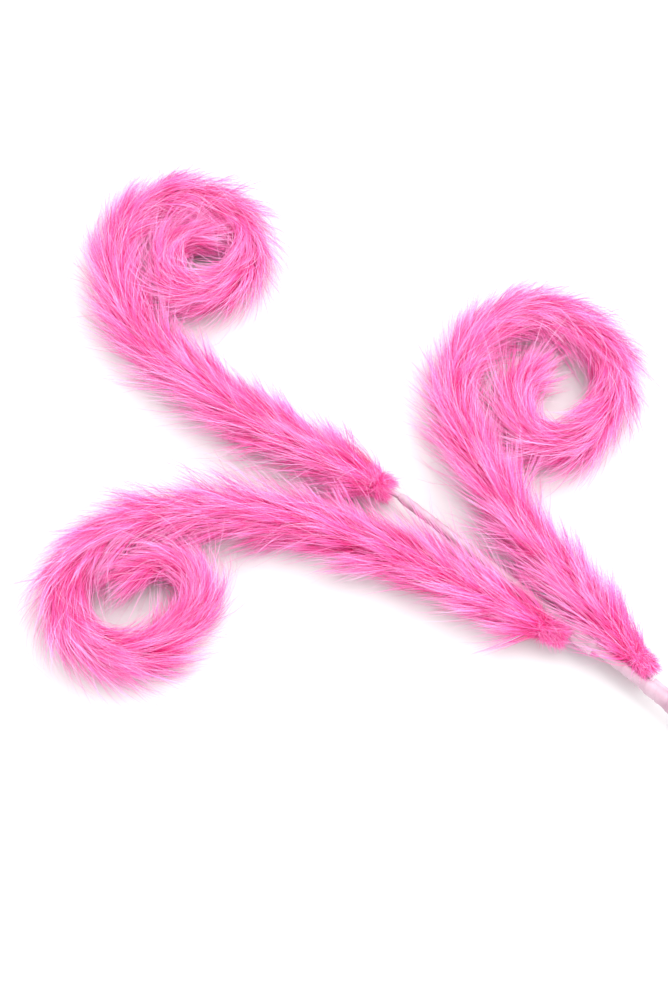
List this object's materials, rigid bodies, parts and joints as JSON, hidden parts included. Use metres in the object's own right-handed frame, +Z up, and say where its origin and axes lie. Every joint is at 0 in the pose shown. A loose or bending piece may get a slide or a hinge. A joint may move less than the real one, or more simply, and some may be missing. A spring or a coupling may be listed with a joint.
{
  "type": "faux-fur curl spray",
  "caption": "Three wired long-pile faux-fur tails, each curled into a flat spiral, gathered on a paper-taped stem.",
  "frame": {"origin": "on the surface the spray lies on, under the middle of its footprint", "axes": "+Z up from that surface; +Y along the stem from its free end to the tails; +X to the third tail's side"},
  "size_m": [0.3364, 0.7064, 0.025],
  "materials": {
    "fur": "long-pile faux fur, hot pink with paler tips and deep magenta in the shade of the pile",
    "paper_tape": "pale pink crinkled florist's paper tape, wound in a shallow helix",
    "hot_glue": "cloudy hot-melt glue",
    "steel_wire": "bright annealed steel wire"
  },
  "bodies": {
    "stem": {"stem_rod": "steel_wire", "stem_wire_1": "steel_wire", "stem_wire_2": "steel_wire", "stem_wire_3": "steel_wire", "stem_tape_lower": "paper_tape", "stem_tape_mid": "paper_tape", "stem_tape_upper": "paper_tape", "junction_wrap_2": "paper_tape", "junction_wrap_3": "paper_tape", "binding_wire_2": "steel_wire", "binding_wire_3": "steel_wire"},
    "tail_1_foot": {"tail_1_branch": "paper_tape", "tail_1_glue_bead": "hot_glue", "tail_1_base_fold": "fur"},
    "tail_1_link_1": {"tail_1_fur_1": "fur", "tail_1_wire_1": "steel_wire"},
    "tail_1_link_2": {"tail_1_fur_2": "fur", "tail_1_wire_2": "steel_wire"},
    "tail_1_link_3": {"tail_1_fur_3": "fur", "tail_1_wire_3": "steel_wire"},
    "tail_1_link_4": {"tail_1_fur_4": "fur", "tail_1_wire_4": "steel_wire"},
    "tail_1_link_5": {"tail_1_fur_5": "fur", "tail_1_wire_5": "steel_wire"},
    "tail_1_link_6": {"tail_1_fur_6": "fur", "tail_1_wire_6": "steel_wire", "tail_1_tip_glue": "hot_glue"},
    "tail_2_foot": {"tail_2_branch": "paper_tape", "tail_2_glue_bead": "hot_glue", "tail_2_base_fold": "fur"},
    "tail_2_link_1": {"tail_2_fur_1": "fur", "tail_2_wire_1": "steel_wire"},
    "tail_2_link_2": {"tail_2_fur_2": "fur", "tail_2_wire_2": "steel_wire"},
    "tail_2_link_3": {"tail_2_fur_3": "fur", "tail_2_wire_3": "steel_wire"},
    "tail_2_link_4": {"tail_2_fur_4": "fur", "tail_2_wire_4": "steel_wire"},
    "tail_2_link_5": {"tail_2_fur_5": "fur", "tail_2_wire_5": "steel_wire"},
    "tail_2_link_6": {"tail_2_fur_6": "fur", "tail_2_wire_6": "steel_wire", "tail_2_tip_glue": "hot_glue"},
    "tail_3_foot": {"tail_3_branch": "paper_tape", "tail_3_glue_bead": "hot_glue", "tail_3_base_fold": "fur"},
    "tail_3_link_1": {"tail_3_fur_1": "fur", "tail_3_wire_1": "steel_wire"},
    "tail_3_link_2": {"tail_3_fur_2": "fur", "tail_3_wire_2": "steel_wire"},
    "tail_3_link_3": {"tail_3_fur_3": "fur", "tail_3_wire_3": "steel_wire"},
    "tail_3_link_4": {"tail_3_fur_4": "fur", "tail_3_wire_4": "steel_wire"},
    "tail_3_link_5": {"tail_3_fur_5": "fur", "tail_3_wire_5": "steel_wire"},
    "tail_3_link_6": {"tail_3_fur_6": "fur", "tail_3_wire_6": "steel_wire", "tail_3_tip_glue": "hot_glue"}
  },
  "joints": [
    {"name": "tail_1_splay", "type": "hinge", "parent": "stem", "child": "tail_1_foot", "pos_m": [0.0148, 0.12076, 0.0125], "axis": [0, 0, -1], "range_deg": [0, 20]},
    {"name": "tail_1_lift", "type": "hinge", "parent": "tail_1_foot", "child": "tail_1_link_1", "pos_m": [0.0128, 0.13226, 0.0125], "axis": [0.9848, 0.1736, 0], "range_deg": [0, 30]},
    {"name": "tail_1_curl", "type": "hinge", "parent": "tail_1_link_1", "child": "tail_1_link_2", "pos_m": [-0.00412, 0.26702, 0.0125], "axis": [0, 0, 1], "range_deg": [0, 12]},
    {"name": "tail_1_curl_2", "type": "hinge", "parent": "tail_1_link_2", "child": "tail_1_link_3", "pos_m": [0.01966, 0.32895, 0.0125], "axis": [0, 0, 1], "range_deg": [0, 16]},
    {"name": "tail_1_curl_3", "type": "hinge", "parent": "tail_1_link_3", "child": "tail_1_link_4", "pos_m": [0.07224, 0.33263, 0.0125], "axis": [0, 0, 1], "range_deg": [0, 19]},
    {"name": "tail_1_curl_4", "type": "hinge", "parent": "tail_1_link_4", "child": "tail_1_link_5", "pos_m": [0.07819, 0.28415, 0.0125], "axis": [0, 0, 1], "range_deg": [0, 22]},
    {"name": "tail_1_curl_5", "type": "hinge", "parent": "tail_1_link_5", "child": "tail_1_link_6", "pos_m": [0.03426, 0.29032, 0.0125], "axis": [0, 0, 1], "range_deg": [0, 25]},
    {"name": "tail_2_splay", "type": "hinge", "parent": "stem", "child": "tail_2_foot", "pos_m": [0.0103, 0.00176, 0.0125], "axis": [0, 0, 1], "range_deg": [0, 25]},
    {"name": "tail_2_lift", "type": "hinge", "parent": "tail_2_foot", "child": "tail_2_link_1", "pos_m": [0.0058, 0.01376, 0.0125], "axis": [0.9816, 0.1908, 0], "range_deg": [0, 30]},
    {"name": "tail_2_curl", "type": "hinge", "parent": "tail_2_link_1", "child": "tail_2_link_2", "pos_m": [-0.01777, 0.11909, 0.0125], "axis": [0, 0, -1], "range_deg": [0, 12]},
    {"name": "tail_2_curl_2", "type": "hinge", "parent": "tail_2_link_2", "child": "tail_2_link_3", "pos_m": [-0.0812, 0.21677, 0.0125], "axis": [0, 0, -1], "range_deg": [0, 16]},
    {"name": "tail_2_curl_3", "type": "hinge", "parent": "tail_2_link_3", "child": "tail_2_link_4", "pos_m": [-0.13745, 0.22669, 0.0125], "axis": [0, 0, -1], "range_deg": [0, 19]},
    {"name": "tail_2_curl_4", "type": "hinge", "parent": "tail_2_link_4", "child": "tail_2_link_5", "pos_m": [-0.15348, 0.18701, 0.0125], "axis": [0, 0, -1], "range_deg": [0, 22]},
    {"name": "tail_2_curl_5", "type": "hinge", "parent": "tail_2_link_5", "child": "tail_2_link_6", "pos_m": [-0.10882, 0.16426, 0.0125], "axis": [0, 0, -1], "range_deg": [0, 25]},
    {"name": "tail_3_splay", "type": "hinge", "parent": "stem", "child": "tail_3_foot", "pos_m": [0.0197, -0.04724, 0.0125], "axis": [0, 0, -1], "range_deg": [0, 25]},
    {"name": "tail_3_lift", "type": "hinge", "parent": "tail_3_foot", "child": "tail_3_link_1", "pos_m": [0.0238, -0.03524, 0.0125], "axis": [0.9816, -0.1908, 0], "range_deg": [0, 30]},
    {"name": "tail_3_curl", "type": "hinge", "parent": "tail_3_link_1", "child": "tail_3_link_2", "pos_m": [0.04737, 0.07009, 0.0125], "axis": [0, 0, 1], "range_deg": [0, 12]},
    {"name": "tail_3_curl_2", "type": "hinge", "parent": "tail_3_link_2", "child": "tail_3_link_3", "pos_m": [0.07264, 0.1243, 0.0125], "axis": [0, 0, 1], "range_deg": [0, 16]},
    {"name": "tail_3_curl_3", "type": "hinge", "parent": "tail_3_link_3", "child": "tail_3_link_4", "pos_m": [0.127, 0.14355, 0.0125], "axis": [0, 0, 1], "range_deg": [0, 19]},
    {"name": "tail_3_curl_4", "type": "hinge", "parent": "tail_3_link_4", "child": "tail_3_link_5", "pos_m": [0.1553, 0.09453, 0.0125], "axis": [0, 0, 1], "range_deg": [0, 22]},
    {"name": "tail_3_curl_5", "type": "hinge", "parent": "tail_3_link_5", "child": "tail_3_link_6", "pos_m": [0.10459, 0.06526, 0.0125], "axis": [0, 0, 1], "range_deg": [0, 25]}
  ],
  "couplings": [
    {"joint": "tail_1_curl_2", "follows": "tail_1_curl", "ratio": 1.25},
    {"joint": "tail_1_curl_3", "follows": "tail_1_curl", "ratio": 1.5},
    {"joint": "tail_1_curl_4", "follows": "tail_1_curl", "ratio": 1.75},
    {"joint": "tail_1_curl_5", "follows": "tail_1_curl", "ratio": 2},
    {"joint": "tail_2_curl_2", "follows": "tail_2_curl", "ratio": 1.25},
    {"joint": "tail_2_curl_3", "follows": "tail_2_curl", "ratio": 1.5},
    {"joint": "tail_2_curl_4", "follows": "tail_2_curl", "ratio": 1.75},
    {"joint": "tail_2_curl_5", "follows": "tail_2_curl", "ratio": 2},
    {"joint": "tail_3_curl_2", "follows": "tail_3_curl", "ratio": 1.25},
    {"joint": "tail_3_curl_3", "follows": "tail_3_curl", "ratio": 1.5},
    {"joint": "tail_3_curl_4", "follows": "tail_3_curl", "ratio": 1.75},
    {"joint": "tail_3_curl_5", "follows": "tail_3_curl", "ratio": 2}
  ]
}
